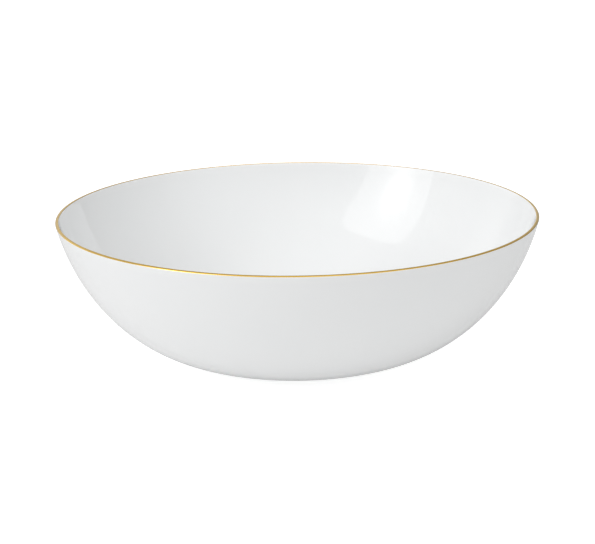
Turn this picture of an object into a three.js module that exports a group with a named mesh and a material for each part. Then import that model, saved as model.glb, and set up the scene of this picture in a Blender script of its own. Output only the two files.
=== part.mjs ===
// A round porcelain serving bowl with a gilded lip.
// Units are millimetres and +Z is up. The origin is the centre of the foot's
// standing plane, on the bowl's axis of revolution.
//
// Every piece is turned on that one axis from a closed outline of (radius,
// height) points. The bowl is fired in layers: a bare porcelain body and foot
// ring, a glass glaze over them, and a gold film over the glaze on the lip.
// The layers share one set of curves, each taken at its own depth under the
// glazed surface and with the same steps, so that their facets stay parallel
// and never cut into one another.
import * as THREE from "three";

const { degToRad } = THREE.MathUtils;

// Driving dimensions of the glazed bowl
const RIM_RADIUS = 150;
const HEIGHT = 93.5;
const LIP_THICKNESS = 2.2;
const LIP_CORNER = 0.7; // rounding on both edges of the lip
const BASE_THICKNESS = 4.2;
const WALL_LEAN = degToRad(14.4); // the wall's lean from upright at the lip
const UPPER_PULL = 51; // length of the wall curve's handle under the lip
const LOWER_PULL = 46.5; // length of its level handle beside the foot

// The foot ring under the belly
const FOOT_RADIUS = 52; // where the belly runs level into the foot
const FOOT_INNER_RADIUS = 45; // where the foot's inner side meets the recess
const FOOT_HEIGHT = 5; // from the standing plane up to the belly and the recess
const FOOT_FILLET = 1.2; // the hollow corner on both sides of the foot
const FOOT_TAPER = 0.3; // how far each side leans in, from fillet to edge
const EDGE_ROUND = 0.7; // rounding on both corners of the bare standing edge

// The fired layers
const GLAZE = 0.25;
const GOLD = 0.08;
const BOND = 0.02; // keeps one layer's faces clear of the next layer's

// Steps of the curves
const TURNS = 64; // flats round the axis
const WALL_STEPS = 10;
const CORNER_STEPS = 2;

const UNDER_GLAZE = GLAZE + BOND; // depth of the bare porcelain
const OVER_GLAZE = -BOND; // depth of the gold film's underside

// The lip's end is square to the wall: a narrow flat between two rounded edges.
const acrossLip = new THREE.Vector2(Math.cos(WALL_LEAN), -Math.sin(WALL_LEAN));
const LIP_FLAT = LIP_THICKNESS - 2 * LIP_CORNER;
const lipOuterCentre = new THREE.Vector2(
  RIM_RADIUS - LIP_CORNER,
  HEIGHT - LIP_CORNER - LIP_FLAT * Math.sin(WALL_LEAN),
);
const lipInnerCentre = lipOuterCentre.clone().addScaledVector(acrossLip, -LIP_FLAT);
const LIP_TOP = Math.PI / 2 - WALL_LEAN; // the angle that faces straight up the wall

// The glazed outside of the wall, from the lip down to the foot.
const wallTop = onCircle(lipOuterCentre, LIP_CORNER, -WALL_LEAN);
const wall = new THREE.CubicBezierCurve(
  wallTop,
  onCircle(wallTop, UPPER_PULL, LIP_TOP + Math.PI),
  new THREE.Vector2(FOOT_RADIUS + LOWER_PULL, FOOT_HEIGHT),
  new THREE.Vector2(FOOT_RADIUS, FOOT_HEIGHT),
);

function onCircle(centre, radius, angle) {
  return new THREE.Vector2(
    centre.x + radius * Math.cos(angle),
    centre.y + radius * Math.sin(angle),
  );
}

// Points along a circular arc, both ends included.
function arc(centre, radius, from, to) {
  return Array.from({ length: CORNER_STEPS + 1 }, (_, i) =>
    onCircle(centre, radius, from + ((to - from) * i) / CORNER_STEPS));
}

// The wall from lip to foot, moved into the porcelain along its normal by
// depth(t), where t runs from 0 at the lip to 1 at the foot.
function wallAt(depth) {
  return Array.from({ length: WALL_STEPS + 1 }, (_, i) => {
    const t = i / WALL_STEPS;
    const along = wall.getTangent(t);
    const inward = new THREE.Vector2(along.y, -along.x);
    return wall.getPoint(t).addScaledVector(inward, depth(t));
  });
}

function outsideWall(depth) {
  return wallAt(() => depth);
}

// The wall thickens steadily from the lip to the base.
function insideWall(depth) {
  return wallAt((t) => THREE.MathUtils.lerp(LIP_THICKNESS, BASE_THICKNESS, t) - depth);
}

// The lip's two rounded edges, from the outside over to the inside.
function lipOuterEdge(depth) {
  return arc(lipOuterCentre, LIP_CORNER - depth, -WALL_LEAN, LIP_TOP);
}

function lipInnerEdge(depth) {
  return arc(lipInnerCentre, LIP_CORNER - depth, LIP_TOP, LIP_TOP + Math.PI / 2);
}

// The glazes meet in the middle of the lip's flat, a bond's width apart.
function lipSeam(depth, side) {
  return lipInnerCentre.clone().lerp(lipOuterCentre, 0.5)
    .add(onCircle(new THREE.Vector2(), LIP_CORNER - depth, LIP_TOP))
    .addScaledVector(acrossLip, (side * BOND) / 2);
}

// Each side of the foot, from the belly or the recess down to the bare edge.
// Both corners are hollow, so depth widens their arcs.
function footOutside(depth) {
  const centre = new THREE.Vector2(FOOT_RADIUS, FOOT_HEIGHT - FOOT_FILLET);
  return [
    ...arc(centre, FOOT_FILLET + depth, Math.PI / 2, Math.PI),
    new THREE.Vector2(FOOT_RADIUS - FOOT_FILLET - FOOT_TAPER - depth, EDGE_ROUND),
  ];
}

function footInside(depth) {
  const centre = new THREE.Vector2(FOOT_INNER_RADIUS, FOOT_HEIGHT - FOOT_FILLET);
  return [
    ...arc(centre, FOOT_FILLET + depth, Math.PI / 2, 0),
    new THREE.Vector2(FOOT_INNER_RADIUS + FOOT_FILLET + FOOT_TAPER + depth, EDGE_ROUND),
  ];
}

// A solid turned about +Z from an outline. One that starts and ends on the
// axis is closed by the axis, and any other by coming back to its start.
function turned(outline) {
  const closed = outline[0].x === 0 ? outline : [...outline, outline[0]];
  return new THREE.LatheGeometry(closed, TURNS).rotateX(Math.PI / 2);
}

function onAxis(height) {
  return new THREE.Vector2(0, height);
}

// A skin's outline: along its outer face, and back under it.
function skin(outer, under) {
  return [...outer, ...under.reverse()];
}

// The porcelain body: base, wall and lip in one, bare, without the foot.
function bodyOutline() {
  return [
    onAxis(FOOT_HEIGHT + UNDER_GLAZE),
    ...outsideWall(UNDER_GLAZE).reverse(),
    ...lipOuterEdge(UNDER_GLAZE).slice(1),
    ...lipInnerEdge(UNDER_GLAZE).slice(0, -1),
    ...insideWall(UNDER_GLAZE),
    onAxis(FOOT_HEIGHT + BASE_THICKNESS - UNDER_GLAZE),
  ];
}

// The bare foot ring, from its flat top under the body to its standing edge.
function footOutline() {
  const outer = cutFlat(footOutside(UNDER_GLAZE));
  const inner = cutFlat(footInside(UNDER_GLAZE));
  const outerRound = outer.at(-1).clone().setX(outer.at(-1).x - EDGE_ROUND);
  const innerRound = inner.at(-1).clone().setX(inner.at(-1).x + EDGE_ROUND);
  return [
    ...inner.slice(0, -1),
    ...arc(innerRound, EDGE_ROUND, Math.PI, 1.5 * Math.PI),
    ...arc(outerRound, EDGE_ROUND, -Math.PI / 2, 0),
    ...outer.reverse().slice(1),
  ];
}

// Cuts a foot side's first step off level, a bond's width under the body.
function cutFlat([first, second, ...rest]) {
  const cut = first.clone().lerp(second, BOND / (first.y - second.y));
  return [cut, second, ...rest];
}

// Glaze on the inside, from the middle of the lip to the middle of the well.
function insideGlazeOutline() {
  const face = (depth) => [
    onAxis(FOOT_HEIGHT + BASE_THICKNESS - depth),
    ...insideWall(depth).reverse(),
    ...lipInnerEdge(depth).reverse().slice(1),
    lipSeam(depth, -1),
  ];
  return skin(face(GLAZE), face(0));
}

// Glaze on the outside, from the foot's bare edge up to the middle of the lip.
function outsideGlazeOutline() {
  const face = (depth) => [
    ...footOutside(depth).reverse().slice(0, -1),
    ...outsideWall(depth).reverse(),
    ...lipOuterEdge(depth).slice(1),
    lipSeam(depth, 1),
  ];
  return skin(face(0), face(GLAZE));
}

// Glaze on the recess under the base, inside the foot ring.
function recessGlazeOutline() {
  const face = (depth) => [onAxis(FOOT_HEIGHT + depth), ...footInside(depth)];
  return skin(face(0), face(GLAZE));
}

// The gold film, over the lip's flat and the upper half of both its edges.
function goldOutline() {
  const face = (depth) => [
    ...lipOuterEdge(depth).slice(CORNER_STEPS / 2),
    ...lipInnerEdge(depth).slice(0, 1 + CORNER_STEPS / 2),
  ];
  return skin(face(OVER_GLAZE - GOLD), face(OVER_GLAZE));
}

function finish(name, color, roughness, metalness) {
  return new THREE.MeshStandardMaterial({ name, color, roughness, metalness });
}

const bisque = () => finish("bisque_porcelain", 0xefece4, 0.65, 0);
const glaze = () => finish("clear_glaze", 0xeff1f1, 0.08, 0);
const gilding = () => finish("fired_gold", 0xc8a35a, 0.22, 1);

function piece(name, outline, material) {
  const mesh = new THREE.Mesh(turned(outline), material);
  mesh.name = name;
  return mesh;
}

const bowl = new THREE.Group();
bowl.add(
  piece("porcelain_body", bodyOutline(), bisque()),
  piece("foot_ring", footOutline(), bisque()),
  piece("inside_glaze", insideGlazeOutline(), glaze()),
  piece("outside_glaze", outsideGlazeOutline(), glaze()),
  piece("recess_glaze", recessGlazeOutline(), glaze()),
  piece("gold_rim_band", goldOutline(), gilding()),
);

export default bowl;
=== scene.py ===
# %% [markdown]
# # A gilded porcelain serving bowl
# This lesson dresses a turned porcelain bowl: a bare clay body, three coats of glossy glaze and
# a thin line of fired gold over the lip. The CAD frame already holds every piece at its size and
# place. Here each piece gets a fine surface, worked out with numpy from the same curves, and a
# finish of its own.
#
# The frame is loaded first. Its box is kept, because the finished bowl has to fit inside it.

# %% Load the frame
import math

import bpy
import numpy as np
from mathutils import Matrix, Vector


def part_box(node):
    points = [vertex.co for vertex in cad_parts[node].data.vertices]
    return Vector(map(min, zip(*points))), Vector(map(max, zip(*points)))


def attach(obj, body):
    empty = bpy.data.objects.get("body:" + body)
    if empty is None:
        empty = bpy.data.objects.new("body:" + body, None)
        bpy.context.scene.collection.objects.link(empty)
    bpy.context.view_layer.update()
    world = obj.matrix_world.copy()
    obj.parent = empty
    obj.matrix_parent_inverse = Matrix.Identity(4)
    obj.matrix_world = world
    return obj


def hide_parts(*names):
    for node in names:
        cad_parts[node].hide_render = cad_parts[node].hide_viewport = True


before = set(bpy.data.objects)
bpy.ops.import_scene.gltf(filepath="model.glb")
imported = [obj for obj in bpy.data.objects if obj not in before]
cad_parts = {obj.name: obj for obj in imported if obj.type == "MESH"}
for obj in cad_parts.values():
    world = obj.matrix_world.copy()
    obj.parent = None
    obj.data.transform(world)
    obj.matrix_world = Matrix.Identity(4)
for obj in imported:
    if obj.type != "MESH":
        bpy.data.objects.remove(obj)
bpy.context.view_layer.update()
print("CAD nodes:", sorted(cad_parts))

# %% [markdown]
# ## The bowl's measurements
# A potter's drawing of a bowl is half a cross-section: radius across and height up. The overall
# width and height come from the frame. The rest are the drawing's own few sizes, in metres: how
# the wall leans at the lip, how thick it is there and at the base, and how the foot is cut.

# %% Measurements
MM = 0.001
rim_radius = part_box("outside_glaze")[1].x
lip_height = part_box("inside_glaze")[1].z

LIP_THICKNESS = 2.2 * MM
LIP_CORNER = 0.7 * MM
BASE_THICKNESS = 4.2 * MM
WALL_LEAN = math.radians(14.4)
UPPER_PULL = 51 * MM
LOWER_PULL = 46.5 * MM

FOOT_RADIUS = 52 * MM
FOOT_INNER_RADIUS = 45 * MM
FOOT_HEIGHT = 5 * MM
FOOT_FILLET = 1.2 * MM
FOOT_TAPER = 0.3 * MM
EDGE_ROUND = 0.7 * MM

GLAZE = 0.25 * MM
BOND = 0.02 * MM
UNDER_GLAZE = GLAZE + BOND

print(f"rim radius {rim_radius / MM:.2f} mm, lip height {lip_height / MM:.2f} mm")

# %% [markdown]
# ## The wall's curve
# The outside of the wall is one sweep from the lip down to the foot, so one cubic Bézier curve
# draws it: it leaves the lip along the wall's lean and arrives level at the foot. A freehand
# spline through many points could do it too, but four points keep the sweep fair, with no
# flat spots for the gloss to show up.
#
# The inside is the same curve moved into the clay along its normal. The move grows from the
# lip's thickness to the base's, as a jiggered wall does.

# %% The wall
WALL_STEPS = 72

across_lip = np.array([math.cos(WALL_LEAN), -math.sin(WALL_LEAN)])
down_wall = np.array([-math.sin(WALL_LEAN), -math.cos(WALL_LEAN)])
lip_flat = LIP_THICKNESS - 2 * LIP_CORNER
lip_outer_centre = np.array([
    rim_radius - LIP_CORNER,
    lip_height - LIP_CORNER - lip_flat * math.sin(WALL_LEAN),
])
lip_inner_centre = lip_outer_centre - lip_flat * across_lip

wall_top = lip_outer_centre + LIP_CORNER * across_lip
wall_handles = (
    wall_top,
    wall_top + UPPER_PULL * down_wall,
    np.array([FOOT_RADIUS + LOWER_PULL, FOOT_HEIGHT]),
    np.array([FOOT_RADIUS, FOOT_HEIGHT]),
)


def wall(depth):
    """The wall's points from lip to foot, as (radius, height) rows.

    Each is the Bézier point of its share t, (1-t)^3 p0 + 3(1-t)^2 t p1 + 3(1-t) t^2 p2 + t^3 p3,
    moved along the curve's inward normal by depth, one number or one for each point."""
    p0, p1, p2, p3 = wall_handles
    t = np.linspace(0, 1, WALL_STEPS + 1)[:, None]
    s = 1 - t
    point = s**3 * p0 + 3 * s**2 * t * p1 + 3 * s * t**2 * p2 + t**3 * p3
    along = s**2 * (p1 - p0) + 2 * s * t * (p2 - p1) + t**2 * (p3 - p2)
    along /= np.linalg.norm(along, axis=1, keepdims=True)
    inward = np.stack([along[:, 1], -along[:, 0]], axis=1)
    return point + inward * np.reshape(depth, (-1, 1))


def inside_wall(depth):
    """The inner wall, depth under its glazed face: the wall moved in by its own thickness."""
    thickness = np.linspace(LIP_THICKNESS, BASE_THICKNESS, WALL_STEPS + 1)
    return wall(thickness - depth)


print(f"wall drawn with {WALL_STEPS} steps, {len(inside_wall(0))} points a side")

# %% [markdown]
# ## Rounded edges
# The lip ends square to the wall, with a small round on each edge, and the foot has a hollow
# corner where it meets the belly. All of these are arcs in the half section. An arc keeps its
# centre in every layer and only its radius changes, so glaze lies on clay at an even depth.

# %% Arcs, lip and foot
ARC_STEPS = 8
QUARTER = math.pi / 2
lip_top = QUARTER - WALL_LEAN


def arc(centre, radius, start, end):
    """Points centre + radius (cos a, sin a), with the angle a going evenly from start to end."""
    a = np.linspace(start, end, ARC_STEPS + 1)
    return centre + radius * np.stack([np.cos(a), np.sin(a)], axis=1)


def lip_outer_edge(depth):
    """The round from the wall's outer flank to the lip's flat, depth under the glazed face."""
    return arc(lip_outer_centre, LIP_CORNER - depth, -WALL_LEAN, lip_top)


def lip_inner_edge(depth):
    """The round from the lip's flat to the inner wall, depth under the glazed face."""
    return arc(lip_inner_centre, LIP_CORNER - depth, lip_top, lip_top + QUARTER)


def lip_seam(depth, side):
    """The point in the middle of the lip's flat, half a bond's width to one side of it."""
    middle = (lip_outer_centre + lip_inner_centre) / 2
    return (middle - (LIP_CORNER - depth) * down_wall + side * BOND / 2 * across_lip)[None]


def foot_outside(depth):
    """From the belly round the hollow corner and down the foot's outer side."""
    corner = arc(
        np.array([FOOT_RADIUS, FOOT_HEIGHT - FOOT_FILLET]), FOOT_FILLET + depth, QUARTER, math.pi
    )
    edge = [FOOT_RADIUS - FOOT_FILLET - FOOT_TAPER - depth, EDGE_ROUND]
    return np.vstack([corner, edge])


def foot_inside(depth):
    """From the recess round the hollow corner and down the foot's inner side."""
    corner = arc(
        np.array([FOOT_INNER_RADIUS, FOOT_HEIGHT - FOOT_FILLET]), FOOT_FILLET + depth, QUARTER, 0
    )
    edge = [FOOT_INNER_RADIUS + FOOT_FILLET + FOOT_TAPER + depth, EDGE_ROUND]
    return np.vstack([corner, edge])


print(f"the lip's flat is {lip_flat / MM:.1f} mm wide between two {LIP_CORNER / MM:.1f} mm rounds")

# %% [markdown]
# ## Turning an outline
# On the wheel, a profile is swept round the axis. Blender's Screw modifier would do that to a
# drawn edge, but a numpy grid gives the same surface with exact control of its points: one ring
# of the grid for each point of the outline, one column for each step round. The outline runs
# up the outside and down the inside, so that all faces look out.
#
# All layers take the same steps round, so that their flats stay parallel and no layer shows
# through another.

# %% The wheel
TURNS = 256


def lathe_points(outline):
    """Grid of points (r cos f, r sin f, z), for each (r, z) of the outline and each angle f."""
    f = np.linspace(0, 2 * math.pi, TURNS, endpoint=False)
    r, z = outline[..., 0], outline[..., 1]
    if outline.ndim == 2:
        r, z = np.repeat(r[:, None], TURNS, 1), np.repeat(z[:, None], TURNS, 1)
    return np.stack([r * np.cos(f), r * np.sin(f), z], axis=-1)


def lathe_faces(rings, closed):
    """Quads between each ring and the next, as grid numbers; closed joins the last to the first."""
    ring = np.arange(rings if closed else rings - 1)[:, None]
    column = np.arange(TURNS)[None]
    above, beside = (ring + 1) % rings, (column + 1) % TURNS
    corners = (ring * TURNS + column, ring * TURNS + beside,
               above * TURNS + beside, above * TURNS + column)
    return np.stack(np.broadcast_arrays(*corners), axis=-1).reshape(-1, 4)


print(f"the wheel takes {TURNS} steps round")

# %% [markdown]
# A grid of points becomes a mesh in one go, from whole arrays. The shading is smooth all over,
# except across edges sharper than a limit, where it would smear the light.

# %% From points to a mesh
SHARP = math.radians(35)


def add_mesh(name, points, faces, marks=None):
    """Puts whole arrays of points, faces and point attributes into a new smooth mesh object."""
    mesh = bpy.data.meshes.new(name)
    mesh.from_pydata(points.reshape(-1, 3), [], faces)
    for mark, values in (marks or {}).items():
        kind = "FLOAT_VECTOR" if values.ndim == 2 else "FLOAT"
        field = "vector" if values.ndim == 2 else "value"
        mesh.attributes.new(mark, kind, "POINT").data.foreach_set(
            field, values.astype(np.float32).ravel()
        )
    mesh.shade_smooth()
    mesh.set_sharp_from_angle(angle=SHARP)
    mesh.validate()
    piece = bpy.data.objects.new(name, mesh)
    bpy.context.scene.collection.objects.link(piece)
    print(f"{name}: {len(mesh.vertices)} points, {len(mesh.polygons)} faces")
    return piece


def turned(name, outline, gather=None):
    """Turns an outline into a mesh object. One that starts and ends on the axis gets a single
    point at each pole, in place of a whole ring; any other closes on itself. gather is one number
    for each outline point, and is kept as a point attribute."""
    if outline[0][0] > 0:
        points = lathe_points(outline).reshape(-1, 3)
        faces = lathe_faces(len(outline), closed=True).tolist()
        ring_of_point = np.arange(len(outline)).repeat(TURNS)
    else:
        rings = outline[1:-1]
        poles = np.array([[0, 0, outline[0][1]], [0, 0, outline[-1][1]]])
        points = np.vstack([lathe_points(rings).reshape(-1, 3), poles])
        column = np.arange(TURNS)
        beside = (column + 1) % TURNS
        last, low, high = (len(rings) - 1) * TURNS, len(rings) * TURNS, len(rings) * TURNS + 1
        faces = lathe_faces(len(rings), closed=False).tolist()
        faces += np.stack([np.full(TURNS, low), beside, column], axis=1).tolist()
        faces += np.stack([last + column, last + beside, np.full(TURNS, high)], axis=1).tolist()
        ring_of_point = np.append(
            np.arange(1, len(outline) - 1).repeat(TURNS), [0, len(outline) - 1]
        )
    marks = None if gather is None else {"gather": np.asarray(gather)[ring_of_point]}
    return add_mesh(name, points, faces, marks)


def on_axis(height):
    """The outline point at a height on the axis."""
    return np.array([[0.0, height]])


print(f"edges past {math.degrees(SHARP):.0f} degrees stay sharp")

# %% [markdown]
# ## The clay body
# The body is one piece of fired clay: a level base, the wall and the lip. Glaze hides it all,
# but it is the solid that carries everything, so it is turned at its own depth under the glaze.

# %% Turn the body
body_outline = np.vstack([
    on_axis(FOOT_HEIGHT + UNDER_GLAZE),
    wall(UNDER_GLAZE)[::-1],
    lip_outer_edge(UNDER_GLAZE)[1:],
    lip_inner_edge(UNDER_GLAZE),
    inside_wall(UNDER_GLAZE)[1:],
    on_axis(FOOT_HEIGHT + BASE_THICKNESS - UNDER_GLAZE),
])
body = turned("bare_body", body_outline)

# %% [markdown]
# ## The foot ring
# The bowl stands on a ring of clay. Its sides are glazed, but its standing edge is wiped clean
# before firing, or it would stick to the kiln shelf, and then ground smooth. So the clay ring
# has small rounds at the bottom, and a flat top a bond's width under the body.

# %% Turn the foot ring
foot_top = FOOT_HEIGHT + GLAZE


def under_top(side):
    """Drops the points of a foot's side that stand above its flat top, and starts it there."""
    kept = side[side[:, 1] < foot_top]
    share = (foot_top - kept[0, 1]) / (side[0, 1] - kept[0, 1])
    start = kept[0] + share * (side[0] - kept[0])
    return np.vstack([start, kept])


outer_side = under_top(foot_outside(UNDER_GLAZE))
inner_side = under_top(foot_inside(UNDER_GLAZE))
inward = np.array([EDGE_ROUND, 0])
foot_outline = np.vstack([
    inner_side[:-1],
    arc(inner_side[-1] + inward, EDGE_ROUND, math.pi, 3 * QUARTER),
    arc(outer_side[-1] - inward, EDGE_ROUND, -QUARTER, 0),
    outer_side[-2::-1],
])
foot = turned("bare_foot_ring", foot_outline)

# %% [markdown]
# ## The coats of glaze
# Glaze is a skin of glass a quarter of a millimetre thick. Each coat is drawn as a closed
# outline: along its face, and back underneath. Where it was wiped off the foot it ends in a
# soft roll, which is a half circle in the section.
#
# Melted glaze creeps. It thins over sharp edges and gathers in hollow corners, where it looks
# deeper and cooler in colour. A Solidify modifier gives one even coat and knows nothing of
# that, so each point of the outline also gets a number, its gathering, from 0 on an edge to 1
# in a hollow, for the material to read.

# %% Glaze outlines
GATHER_ON_EDGE = 0.0
GATHER_ON_WALL = 0.3
GATHER_IN_HOLLOW = 1.0
EDGE_REACH = 5 * MM
WELL_REACH = 40 * MM
FOOT_REACH = 6 * MM


def ease(share):
    """Smooth step from 0 to 1: 3 s^2 - 2 s^3."""
    s = np.clip(share, 0, 1)
    return s * s * (3 - 2 * s)


def gathering(points, hollow, hollow_reach):
    """Gathering of each point: the wall's level, eased down to the edge's near the lip and up to
    the hollow's near a (radius, height) place, each over its own reach."""
    below_lip = ease((lip_height - points[:, 1]) / EDGE_REACH)
    near = ease(1 - np.linalg.norm(points - hollow, axis=1) / hollow_reach)
    level = GATHER_ON_EDGE + (GATHER_ON_WALL - GATHER_ON_EDGE) * below_lip
    return level + (GATHER_IN_HOLLOW - level) * near


def skin(face, under):
    """A closed outline along the face and back along the underside."""
    return np.vstack([face, under[::-1]])


def roll(face_end, under_end):
    """The half circle that rounds a coat off, from the end of its face to the end underneath."""
    middle, spoke = (face_end + under_end) / 2, (face_end - under_end) / 2
    a = np.linspace(0, math.pi, ARC_STEPS + 1)[1:-1, None]
    down = np.array([0, -np.linalg.norm(spoke)])
    return middle + np.cos(a) * spoke + np.sin(a) * down


print(f"glaze {GLAZE / MM:.2f} mm thick, {BOND / MM:.2f} mm off the clay")

# %% [markdown]
# The inside coat covers the level well, the wall and the inner half of the lip. Its hollow is
# the gentle corner where the wall runs out into the well.

# %% Glaze the inside
well_height = FOOT_HEIGHT + BASE_THICKNESS


def inside_face(depth):
    """From the middle of the well up the inner wall to the middle of the lip, depth down."""
    return np.vstack([
        on_axis(well_height - depth),
        inside_wall(depth)[::-1],
        lip_inner_edge(depth)[-2::-1],
        lip_seam(depth, -1),
    ])


WELL_EDGE_PAST_FOOT = 12 * MM
WELL_EDGE_RISE = 1 * MM
well_edge = np.array([FOOT_RADIUS + WELL_EDGE_PAST_FOOT, well_height + WELL_EDGE_RISE])
inside_outline = skin(inside_face(GLAZE), inside_face(0))
inside_glaze = turned(
    "inside_glaze_coat", inside_outline, gathering(inside_outline, well_edge, WELL_REACH)
)

# %% [markdown]
# The outside coat runs from the foot's bare edge, round the hollow corner under the belly, and
# up the wall to the middle of the lip.

# %% Glaze the outside


def outside_face(depth):
    """From the foot's bare edge up the outer wall to the middle of the lip, depth down."""
    return np.vstack([
        foot_outside(depth)[::-1],
        wall(depth)[-2::-1],
        lip_outer_edge(depth)[1:],
        lip_seam(depth, 1),
    ])


outer_face, outer_under = outside_face(0), outside_face(GLAZE)
outside_outline = np.vstack([
    roll(outer_face[0], outer_under[0])[::-1],
    skin(outer_face, outer_under),
])
outer_hollow = np.array([FOOT_RADIUS - FOOT_FILLET / 2, FOOT_HEIGHT - FOOT_FILLET / 2])
outside_glaze = turned(
    "outside_glaze_coat", outside_outline, gathering(outside_outline, outer_hollow, FOOT_REACH)
)

# %% [markdown]
# The recess under the base is glazed too, down the inner side of the foot.

# %% Glaze the recess


def recess_face(depth):
    """From the middle of the recess out and down the foot's inner side, depth under the glaze."""
    return np.vstack([on_axis(FOOT_HEIGHT + depth), foot_inside(depth)])


recess_down, recess_back = recess_face(0), recess_face(GLAZE)
recess_outline = np.vstack([
    recess_down,
    roll(recess_down[-1], recess_back[-1]),
    recess_back[::-1],
])
inner_hollow = np.array([FOOT_INNER_RADIUS + FOOT_FILLET / 2, FOOT_HEIGHT - FOOT_FILLET / 2])
recess_glaze = turned(
    "recess_glaze_coat", recess_outline, gathering(recess_outline, inner_hollow, FOOT_REACH)
)

# %% [markdown]
# ## The gold line
# The gold lies over the lip, so its shape starts from a path across the lip. A place on it is
# measured as a length from where the wall's flank ends: round the outer edge, along the flat,
# and round the inner edge. A band cut out of the glaze's own mesh would do too, but its edges
# could only follow the rings of that mesh.

# %% A path over the lip
corner_length = LIP_CORNER * QUARTER


def on_lip(length, lift):
    """The (radius, height) point at a length over the lip, lifted off the glaze. The angle grows
    as length / corner radius on each round, and stays the lip's own angle on the flat."""
    past_flat = length - corner_length - lip_flat
    angle = -WALL_LEAN + (
        np.clip(length, 0, corner_length) + np.clip(past_flat, 0, corner_length)
    ) / LIP_CORNER
    along_flat = np.clip(length - corner_length, 0, lip_flat)
    spoke = np.stack([np.cos(angle), np.sin(angle)], axis=-1)
    centre = lip_outer_centre - along_flat[..., None] * across_lip
    return centre + (LIP_CORNER + lift)[..., None] * spoke


print(f"the path over the lip is {(2 * corner_length + lip_flat) / MM:.2f} mm long")

# %% [markdown]
# A gilder lays the line with a fine brush while the bowl turns on a wheel, so its edges wander
# a little, and it is a little wider on one side of the bowl. A strip with even edges looks
# printed. The two edges are closed wavering lines with different waves. Where each edge lies is
# a share of the round that it crosses, and one side of the bowl draws both edges in.

# %% The gold's edges
GOLD_STARTS = 0.42
GOLD_ENDS = 0.66
GOLD_WANDER = 0.05 * MM
GOLD_ONE_SIDED = 0.09 * MM
OUTER_WAVES = [(2, 0.4), (5, 2.1), (9, 4.0), (23, 1.2), (41, 5.0)]
INNER_WAVES = [(3, 1.7), (4, 3.3), (11, 0.2), (19, 2.6), (37, 0.9)]


def wander(f, waves):
    """A closed wavering line: the sum of sin(n f + phase) / n^0.5 over its waves (n, phase),
    divided by the square root of their number."""
    terms = [np.sin(n * f + phase) / math.sqrt(n) for n, phase in waves]
    return np.sum(terms, axis=0) / math.sqrt(len(waves))


turn = np.linspace(0, 2 * math.pi, TURNS, endpoint=False)
drawn_in = GOLD_ONE_SIDED * np.cos(turn)
gold_from = GOLD_STARTS * corner_length
gold_to = corner_length + lip_flat + GOLD_ENDS * corner_length
outer_line = gold_from + drawn_in + GOLD_WANDER * wander(turn, OUTER_WAVES)
inner_line = gold_to - drawn_in + GOLD_WANDER * wander(turn, INNER_WAVES)
print(f"gold line {(inner_line - outer_line).min() / MM:.2f} to "
      f"{(inner_line - outer_line).max() / MM:.2f} mm wide over the lip")

# %% [markdown]
# The film is a surface of two parameters. One runs round the bowl. The other runs across the
# line, over the film's domed top and back underneath, because the gold is thickest in the
# middle. The mesh also keeps where the brush went, for the material's streaks: a short way
# round the bowl and a long way across the line.

# %% Gild the lip
GOLD_FILM = 0.035 * MM
GOLD_LIFT = 0.008 * MM
GOLD_STEPS = 16
BRUSH_ROUND = 0.012
BRUSH_ACROSS = 4.0

across = np.linspace(0, 1, GOLD_STEPS + 1)
dome = GOLD_FILM * (1 - (2 * across - 1) ** 4)
across = np.concatenate([across, across[-2:0:-1]])
lift = GOLD_LIFT + np.concatenate([dome, np.zeros(GOLD_STEPS - 1)])

length = outer_line + across[:, None] * (inner_line - outer_line)
gold_grid = on_lip(length, np.broadcast_to(lift[:, None], length.shape))
brushed = np.stack(np.broadcast_arrays(
    BRUSH_ROUND * np.cos(turn), BRUSH_ROUND * np.sin(turn), BRUSH_ACROSS * length
), axis=-1).reshape(-1, 3)
gold = add_mesh(
    "gold_line", lathe_points(gold_grid).reshape(-1, 3),
    lathe_faces(len(across), closed=True).tolist(), {"brushed": brushed},
)

# %% [markdown]
# ## Finishes
# Each finish is a small tree of nodes around one Principled shader. A helper keeps the trees
# short: it adds a node, sets its values and links what is given as another node's output.

# %% Node helpers


def node(tree, kind, inputs=None, **settings):
    """Adds a node, sets its properties, and fills its inputs, called by name or by number, with
    values or with links from other nodes' outputs."""
    made = tree.nodes.new(kind)
    for name, value in settings.items():
        setattr(made, name, value)
    for name, value in (inputs or {}).items():
        if isinstance(value, bpy.types.NodeSocket):
            tree.links.new(value, made.inputs[name])
        else:
            made.inputs[name].default_value = value
    return made


def new_material(name):
    """A material with an empty tree, and the tree."""
    material = bpy.data.materials.new(name)
    material.use_nodes = True
    tree = material.node_tree
    tree.nodes.clear()
    return material, tree


def finished(tree, **sockets):
    """Closes a tree with its Principled shader; names use _ for the spaces in socket names."""
    shader = node(tree, "ShaderNodeBsdfPrincipled",
                  {name.replace("_", " "): value for name, value in sockets.items()})
    node(tree, "ShaderNodeOutputMaterial", {"Surface": shader.outputs["BSDF"]})


# %% [markdown]
# Some nodes come back in every tree: sums, noise, blends and bumps. Each gets a helper of its
# own that returns the output which the next node needs.

# %% Helpers for common nodes
MIX_SHARE, MIX_FIRST, MIX_SECOND, MIX_COLOUR = 0, 6, 7, 2
NOISE_LOW, NOISE_HIGH = 0.3, 0.7


def maths(tree, operation, *values):
    """The outcome of one sum on numbers or outputs, named as Blender's Math node names it."""
    made = node(tree, "ShaderNodeMath", dict(enumerate(values)), operation=operation)
    return made.outputs[0]


def noise(tree, vector, scale, detail=2.0, roughness=0.5):
    """Cloudy noise about 0.5, with about scale patches to a metre."""
    made = node(tree, "ShaderNodeTexNoise",
                {"Vector": vector, "Scale": scale, "Detail": detail, "Roughness": roughness})
    return made.outputs["Fac"]


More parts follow.
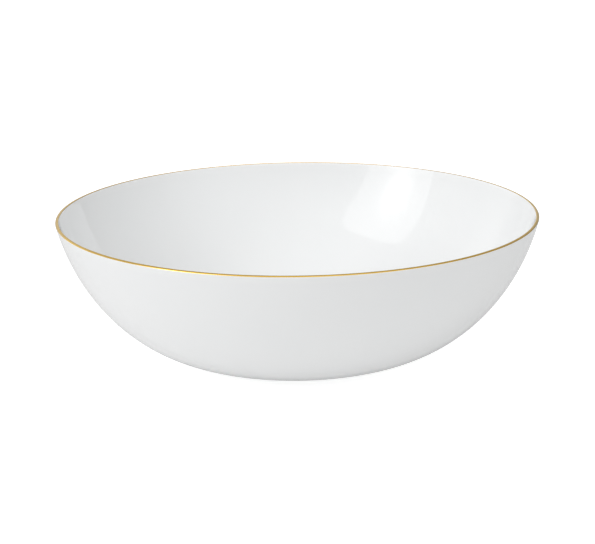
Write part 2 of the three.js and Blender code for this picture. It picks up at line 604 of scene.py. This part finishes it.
def spread(tree, value, low, high):
    """Maps the middle part of a noise, where most of it lies, onto low to high."""
    made = node(tree, "ShaderNodeMapRange", {
        "Value": value, "From Min": NOISE_LOW, "From Max": NOISE_HIGH,
        "To Min": low, "To Max": high,
    })
    return made.outputs["Result"]


def blend(tree, share, first, second):
    """The colour first + share (second - first). The Mix node has sockets of the same name for
    each kind of value, so those for colours are called by number."""
    made = node(tree, "ShaderNodeMix",
                {MIX_SHARE: share, MIX_FIRST: first, MIX_SECOND: second}, data_type="RGBA")
    return made.outputs[MIX_COLOUR]


def bump(tree, height, strength, depth, under=None):
    """A normal tilted by a height map that is depth metres deep, over another normal if given."""
    inputs = {"Height": height, "Strength": strength, "Distance": depth}
    if under is not None:
        inputs["Normal"] = under
    return node(tree, "ShaderNodeBump", inputs).outputs["Normal"]


def object_place(tree):
    """The Object coordinates: metres from the bowl's own origin, the same on every piece."""
    return node(tree, "ShaderNodeTexCoord").outputs["Object"]


print(f"noise is read from {NOISE_LOW} to {NOISE_HIGH}")

# %% [markdown]
# ### Glazed porcelain
# Bone-white clay under clear glass. The clay scatters light evenly, so the base colour is a
# near white with a trace of green-blue where the glaze has gathered, and the glass is a coat
# over it with a sharp reflection. Clear glass could be modelled as a real transparent layer,
# but it would need many more light paths for the same look.
#
# The glass isn't flat: it has long, shallow waves left by the clay and a fine ripple, like
# orange peel, left by the melt. Both are a few hundredths of a millimetre deep at most. They
# show only in reflections, whose edges they make waver.

# %% Glaze material
PORCELAIN_WHITE = (0.847, 0.852, 0.856, 1)
GATHERED_WHITE = (0.796, 0.820, 0.822, 1)
CLOUD_WHITE = (0.860, 0.862, 0.862, 1)
CLOUD_SCALE, HAZE_SCALE = 22, 60
WAVE_SCALE, WAVE_DEPTH = 38, 0.05 * MM
PEEL_SCALE, PEEL_DEPTH = 380, 0.012 * MM


def glaze_material():
    material, tree = new_material("clear_glaze")
    place = object_place(tree)
    gather = node(tree, "ShaderNodeAttribute", attribute_name="gather").outputs["Fac"]

    clouds = spread(tree, noise(tree, place, CLOUD_SCALE, detail=3), 0, 1)
    white = blend(tree, clouds, PORCELAIN_WHITE, CLOUD_WHITE)
    colour = blend(tree, gather, white, GATHERED_WHITE)

    waves = bump(tree, noise(tree, place, WAVE_SCALE, detail=1), 1.0, WAVE_DEPTH)
    peel = noise(tree, place, PEEL_SCALE, roughness=0.55)
    surface = bump(tree, peel, 1.0, PEEL_DEPTH, under=waves)
    finished(
        tree,
        Base_Color=colour,
        Roughness=spread(tree, noise(tree, place, HAZE_SCALE, detail=3), 0.30, 0.36),
        IOR=1.5,
        Specular_IOR_Level=0.2,
        Coat_Weight=1.0,
        Coat_Roughness=0.025,
        Coat_IOR=1.56,
        Normal=surface,
        Coat_Normal=surface,
    )
    return material


glaze_finish = glaze_material()
print(f"waves up to {WAVE_DEPTH / MM:.3f} mm deep, ripple up to {PEEL_DEPTH / MM:.3f} mm")

# %% [markdown]
# ### Bare porcelain
# Unglazed clay is matt and a little creamy, with a fine sandy grain. The standing edge picks
# up grey from the surfaces it slides on, in small patches.

# %% Bare clay material
BARE_CLAY = (0.78, 0.76, 0.71, 1)
SCUFFED_CLAY = (0.50, 0.48, 0.45, 1)
SCUFF_SCALE = 260
GRAIN_SCALE, GRAIN_DEPTH = 5200, 0.04 * MM


def clay_material():
    material, tree = new_material("bare_porcelain")
    place = object_place(tree)
    patches = noise(tree, place, SCUFF_SCALE, detail=4, roughness=0.65)
    scuffs = node(tree, "ShaderNodeMapRange", {
        "Value": patches, "From Min": 0.56, "From Max": 0.72, "To Min": 0.0, "To Max": 0.5,
    }).outputs["Result"]
    grain = noise(tree, place, GRAIN_SCALE, roughness=0.6)
    finished(
        tree,
        Base_Color=blend(tree, scuffs, BARE_CLAY, SCUFFED_CLAY),
        Roughness=spread(tree, grain, 0.62, 0.82),
        IOR=1.5,
        Normal=bump(tree, grain, 0.6, GRAIN_DEPTH),
    )
    return material


clay_finish = clay_material()
print(f"sandy grain {1000 / GRAIN_SCALE:.2f} mm across")

# %% [markdown]
# ### Fired gold
# Fired gold is real metal, burnished bright but not mirror smooth. The brush leaves streaks
# round the bowl, and handling rubs it duller in patches. The streaks follow the line, so they
# read the gold's own attribute, which is short in the direction round the bowl and long across,
# and closes on itself, where a flat map would leave a seam.

# %% Gold material
GOLD = (0.86, 0.60, 0.16, 1)
DEEP_GOLD = (0.68, 0.43, 0.08, 1)
STREAK_SCALE, STREAK_DEPTH = 900, 0.01 * MM
RUBBED_SCALE = 120


def gold_material():
    material, tree = new_material("fired_gold")
    brushed = node(tree, "ShaderNodeAttribute", attribute_name="brushed").outputs["Vector"]
    streaks = noise(tree, brushed, STREAK_SCALE, detail=3, roughness=0.6)
    rubbed = noise(tree, object_place(tree), RUBBED_SCALE, detail=4, roughness=0.6)
    finished(
        tree,
        Base_Color=blend(tree, spread(tree, streaks, 0, 1), GOLD, DEEP_GOLD),
        Metallic=1.0,
        Roughness=spread(tree, rubbed, 0.12, 0.24),
        Normal=bump(tree, streaks, 0.5, STREAK_DEPTH),
    )
    return material


gold_finish = gold_material()
print("finishes:", [m.name for m in (glaze_finish, clay_finish, gold_finish)])

# %% [markdown]
# ## Hanging the pieces on the frame
# Each new piece takes the place of one CAD node and rides on the bowl's only body. Its row also
# lists its finish and the record's material slot that the finish stands for.

# %% Attach the pieces
DRESSED = (
    (body, "porcelain_body", clay_finish, "bisque_porcelain"),
    (foot, "foot_ring", clay_finish, "bisque_porcelain"),
    (inside_glaze, "inside_glaze", glaze_finish, "clear_glaze"),
    (outside_glaze, "outside_glaze", glaze_finish, "clear_glaze"),
    (recess_glaze, "recess_glaze", glaze_finish, "clear_glaze"),
    (gold, "gold_rim_band", gold_finish, "fired_gold"),
)
for piece, cad_node, finish, slot in DRESSED:
    piece.data.materials.append(finish)
    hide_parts(cad_node)
    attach(piece, "root")
    print(f"{piece.name} stands for {cad_node}")

# %% [markdown]
# ## The table
# The bowl stands on a plain white table with a milky top. A lamp under it lights the milk round
# the bowl, and that fills the underside of the belly. A table that glows all over would also
# light the upper wall and flatten it. The glow falls off as e^-(r/s)^2/2, with r the distance
# from the bowl's middle and s its reach. It is strongest straight up and fades sideways, so it
# hardly shows in the gloss along the bowl's outline.
#
# The table also looks brighter to the camera than it is to the bowl, which leaves only a trace
# of the bowl's shadow. Seen from below the table is clear, so that the foot can be looked at.

# %% Table
TABLE_SIDE = 30.0
TABLE_WHITE = (0.66, 0.66, 0.66, 1)
TABLE_GLOW = 0.405
GLOW_REACH = 0.35
SEEN_BRIGHTER = 0.60
WHITE = (1, 1, 1, 1)


def table_material():
    material, tree = new_material("table_top")
    away = node(tree, "ShaderNodeVectorMath", {0: object_place(tree)}, operation="LENGTH")
    share = maths(tree, "DIVIDE", away.outputs["Value"], GLOW_REACH)
    falling = maths(tree, "MULTIPLY", maths(tree, "MULTIPLY", share, share), -0.5)
    glow = maths(tree, "MULTIPLY", maths(tree, "EXPONENT", falling), TABLE_GLOW)
    sideways = node(tree, "ShaderNodeLayerWeight", {"Blend": 0.5}).outputs["Facing"]
    glow = maths(tree, "MULTIPLY", glow, maths(tree, "SUBTRACT", 1.0, sideways))
    seen = node(tree, "ShaderNodeLightPath").outputs["Is Camera Ray"]
    glow = maths(tree, "MULTIPLY_ADD", seen, SEEN_BRIGHTER, glow)
    top = node(tree, "ShaderNodeBsdfPrincipled", {
        "Base Color": TABLE_WHITE, "Roughness": 0.9, "Specular IOR Level": 0.0,
        "Emission Color": WHITE, "Emission Strength": glow,
    })
    clear = node(tree, "ShaderNodeBsdfTransparent")
    below = node(tree, "ShaderNodeNewGeometry").outputs["Backfacing"]
    mix = node(tree, "ShaderNodeMixShader", {0: below, 1: top.outputs[0], 2: clear.outputs[0]})
    node(tree, "ShaderNodeOutputMaterial", {"Surface": mix.outputs["Shader"]})
    return material


half = TABLE_SIDE / 2
corners = np.array([(-half, -half, 0), (half, -half, 0), (half, half, 0), (-half, half, 0)])
table = add_mesh("table", corners, [(0, 1, 2, 3)])
table.data.materials.append(table_material())

# %% [markdown]
# ## Light
# One softbox stands to the left of the camera, above the bowl. Its tall reflection on the far
# inner wall is what tells the eye that the glaze is glass. A plain area light would show as an
# even oblong with sharp corners. A real softbox is brightest in front of its lamp and dims
# towards its rounded corners, so the light gets nodes of its own. They read the place on its
# face, which Blender gives as the Parametric output, from 0 to 1 across and down.

# %% The softbox's face
CLOTH_BRIGHTNESS, LAMP_BRIGHTNESS = 0.97, 3.0
LAMP_PLACE = (0.485, 0.435)
LAMP_SPREAD = (0.165, 0.22)
CORNER_POWER = 6


def shape_softbox(tree):
    """Brightness over the face: cloth + lamp e^-((u/a)^2 + (v/b)^2), and nothing outside the
    rounded oblong (2u)^6 + (2v)^6 = 1, with u and v from the middle of each."""
    tree.nodes.clear()
    face = node(tree, "ShaderNodeNewGeometry").outputs["Parametric"]
    sides = node(tree, "ShaderNodeSeparateXYZ", {"Vector": face})
    round_lamp, round_edge = [], []
    for axis in (0, 1):
        from_lamp = maths(tree, "SUBTRACT", sides.outputs[axis], LAMP_PLACE[axis])
        share = maths(tree, "DIVIDE", from_lamp, LAMP_SPREAD[axis])
        round_lamp.append(maths(tree, "MULTIPLY", share, share))
        from_middle = maths(tree, "SUBTRACT", sides.outputs[axis], 0.5)
        half_share = maths(tree, "ABSOLUTE", maths(tree, "MULTIPLY", from_middle, 2.0))
        round_edge.append(maths(tree, "POWER", half_share, CORNER_POWER))
    falling = maths(tree, "MULTIPLY", maths(tree, "ADD", *round_lamp), -1.0)
    lamp = maths(tree, "MULTIPLY", maths(tree, "EXPONENT", falling), LAMP_BRIGHTNESS)
    inside = maths(tree, "LESS_THAN", maths(tree, "ADD", *round_edge), 1.0)
    level = maths(tree, "MULTIPLY", maths(tree, "ADD", lamp, CLOTH_BRIGHTNESS), inside)
    shine = node(tree, "ShaderNodeEmission", {"Strength": level})
    node(tree, "ShaderNodeOutputLight", {"Surface": shine.outputs[0]})


print(f"the cloth is {CLOTH_BRIGHTNESS} bright, and {CLOTH_BRIGHTNESS + LAMP_BRIGHTNESS:.2f} "
      "in front of the lamp")

# %% [markdown]
# The softbox looks at the bowl from a direction and a distance. Its width, its height and its
# small shift aside are shares of the distance, so that moving it in or out keeps the size and
# place of its reflection.

# %% Place the softbox
LIGHT_AIM = Vector((0, 0, 0.6 * lip_height))
KEY_AZIMUTH, KEY_ELEVATION, KEY_DISTANCE = -55, 36, 1.4
KEY_WIDTH, KEY_TALL = 0.66, 0.92
KEY_ASIDE, KEY_DOWN = 0.07, 0.06


def direction(azimuth, elevation):
    """The unit vector at an azimuth from the camera's side (-Y), turning towards +X, and at an
    elevation above level, both in degrees."""
    a, e = math.radians(azimuth), math.radians(elevation)
    return Vector((math.sin(a) * math.cos(e), -math.cos(a) * math.cos(e), math.sin(e)))


lamp = bpy.data.lights.new("key_softbox", "AREA")
lamp.shape = "RECTANGLE"
lamp.size, lamp.size_y = KEY_WIDTH * KEY_DISTANCE, KEY_TALL * KEY_DISTANCE
lamp.energy = math.pi * lamp.size * lamp.size_y
lamp.use_nodes = True
shape_softbox(lamp.node_tree)
softbox = bpy.data.objects.new("key_softbox", lamp)
to_key = direction(KEY_AZIMUTH, KEY_ELEVATION)
aside = Vector((0, 0, 1)).cross(to_key).normalized()
upward = to_key.cross(aside)
softbox.location = LIGHT_AIM + KEY_DISTANCE * (to_key - KEY_ASIDE * aside - KEY_DOWN * upward)
softbox.rotation_euler = to_key.to_track_quat("Z", "Y").to_euler()
bpy.context.scene.collection.objects.link(softbox)
print(f"softbox {lamp.size:.2f} x {lamp.size_y:.2f} m, {lamp.energy:.1f} W before shaping")

# %% [markdown]
# The rest of the light is soft and has no edges: white walls and cloths that glow here and
# there. The room is the world's colour, a sum of round glows. A glow is the cosine of the angle
# from its middle, raised to a power: the higher the power, the smaller the glow. An image of a
# whole studio could light the bowl as well, but glows can be moved one at a time.
#
# What the camera sees past the table is plain white, whatever the room's light is.

# %% Room
WIDE, NARROW = 8, 20
ROOM_GLOWS = (
    # azimuth, elevation, brightness, power
    (0, 90, 1.13, WIDE),
    (0, 45, 0.76, WIDE),
    (60, 45, 0.62, WIDE),
    (120, 45, 0.24, WIDE),
    (180, 45, 0.36, WIDE),
    (-120, 45, 0.10, WIDE),
    (-60, 45, 0.99, WIDE),
    (-45, 12, 0.47, WIDE),
    (0, 12, 0.22, WIDE),
    (45, 12, 0.96, WIDE),
    (90, 12, 0.47, WIDE),
    (135, 12, 0.33, WIDE),
    (180, 12, 0.55, NARROW),
    (-135, 12, 1.08, WIDE),
    (-90, 12, 0.78, WIDE),
)


def room_light():
    """The world's brightness toward a direction d: the sum of brightness max(d . g, 0)^power
    over the glows, each with its middle at the direction g."""
    world = bpy.data.worlds.new("room")
    world.use_nodes = True
    tree = world.node_tree
    tree.nodes.clear()
    toward = node(tree, "ShaderNodeTexCoord").outputs["Generated"]
    level = 0.0

    for azimuth, elevation, brightness, power in ROOM_GLOWS:
        facing = node(tree, "ShaderNodeVectorMath",
                      {0: toward, 1: direction(azimuth, elevation)}, operation="DOT_PRODUCT")
        front = maths(tree, "MAXIMUM", facing.outputs["Value"], 0.0)
        round_glow = maths(tree, "POWER", front, power)
        level = maths(tree, "MULTIPLY_ADD", round_glow, brightness, level)

    room = node(tree, "ShaderNodeBackground", {"Color": WHITE, "Strength": level})
    seen = node(tree, "ShaderNodeBackground", {"Color": WHITE, "Strength": 1.0})
    to_camera = node(tree, "ShaderNodeLightPath").outputs["Is Camera Ray"]
    mix = node(tree, "ShaderNodeMixShader",
               {0: to_camera, 1: room.outputs[0], 2: seen.outputs[0]})
    node(tree, "ShaderNodeOutputWorld", {"Surface": mix.outputs[0]})
    bpy.context.scene.world = world


room_light()
bpy.context.scene.view_settings.view_transform = "Standard"
print(f"{len(ROOM_GLOWS)} glows light the room")

# %% [markdown]
# ## Camera
# A long lens from 1.4 m, 15 degrees above level, with the slight tilt of a hand-set tripod. A
# long lens keeps the rim's near and far halves almost equal.

# %% Camera
CAMERA_DISTANCE = 1.4
CAMERA_ELEVATION = 15.094
CAMERA_ROLL = math.radians(-0.773)
CAMERA_AIM = Vector((-0.27 * MM, 0, 55.54 * MM))
CAMERA_LENS = 135.1
SENSOR_WIDTH = 36

camera_data = bpy.data.cameras.new("camera")
camera_data.lens = CAMERA_LENS
camera_data.sensor_width = SENSOR_WIDTH
camera = bpy.data.objects.new("camera", camera_data)
bpy.context.scene.collection.objects.link(camera)
to_camera = direction(0, CAMERA_ELEVATION)
facing = to_camera.to_track_quat("Z", "Y").to_matrix().to_4x4()
camera.matrix_world = (
    Matrix.Translation(CAMERA_AIM + to_camera * CAMERA_DISTANCE)
    @ facing @ Matrix.Rotation(CAMERA_ROLL, 4, "Z")
)
bpy.context.scene.camera = camera
print(f"camera {CAMERA_DISTANCE} m away with a {CAMERA_LENS} mm lens")
